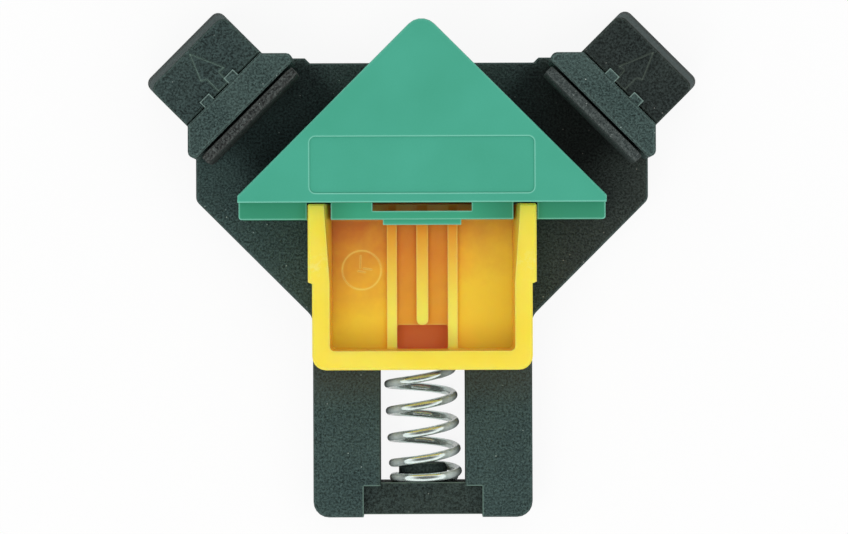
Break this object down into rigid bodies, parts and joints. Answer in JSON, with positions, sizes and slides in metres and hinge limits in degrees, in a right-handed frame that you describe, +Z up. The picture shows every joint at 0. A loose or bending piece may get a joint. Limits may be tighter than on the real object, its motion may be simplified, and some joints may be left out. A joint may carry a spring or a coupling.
{
  "type": "corner clamp",
  "caption": "One-hand spring corner clamp that holds two boards at a right angle between a sliding triangular block and padded jaws, worked by a finger slider.",
  "frame": {"origin": "middle of the outer box, on the underside that rests on the bench", "axes": "+X across the two jaws, +Y towards the point of the corner block, +Z up from the underside"},
  "size_m": [0.1238, 0.1133, 0.042],
  "materials": {
    "dark_plastic": "fine matte moulding",
    "jaw_plastic": "fine matte moulding",
    "mint_plastic": "satin moulding",
    "yellow_plastic": "satin moulding",
    "spring_steel": "bright plated wire",
    "pad_rubber": "speckled, matte"
  },
  "bodies": {
    "base": {"base_frame": "dark_plastic", "compression_spring": "spring_steel", "jaw_plate_left": "jaw_plastic", "jaw_pad_left": "pad_rubber", "jaw_plate_right": "jaw_plastic", "jaw_pad_right": "pad_rubber"},
    "slider": {"finger_slider": "yellow_plastic", "corner_block": "mint_plastic"}
  },
  "joints": [
    {"name": "slider_slide", "type": "slide", "parent": "base", "child": "slider", "axis": [0, -1, 0], "range_m": [0, 0.019], "stiffness_N_per_m": 6400, "springref_m": -0.002, "deforming": ["compression_spring"]}
  ]
}
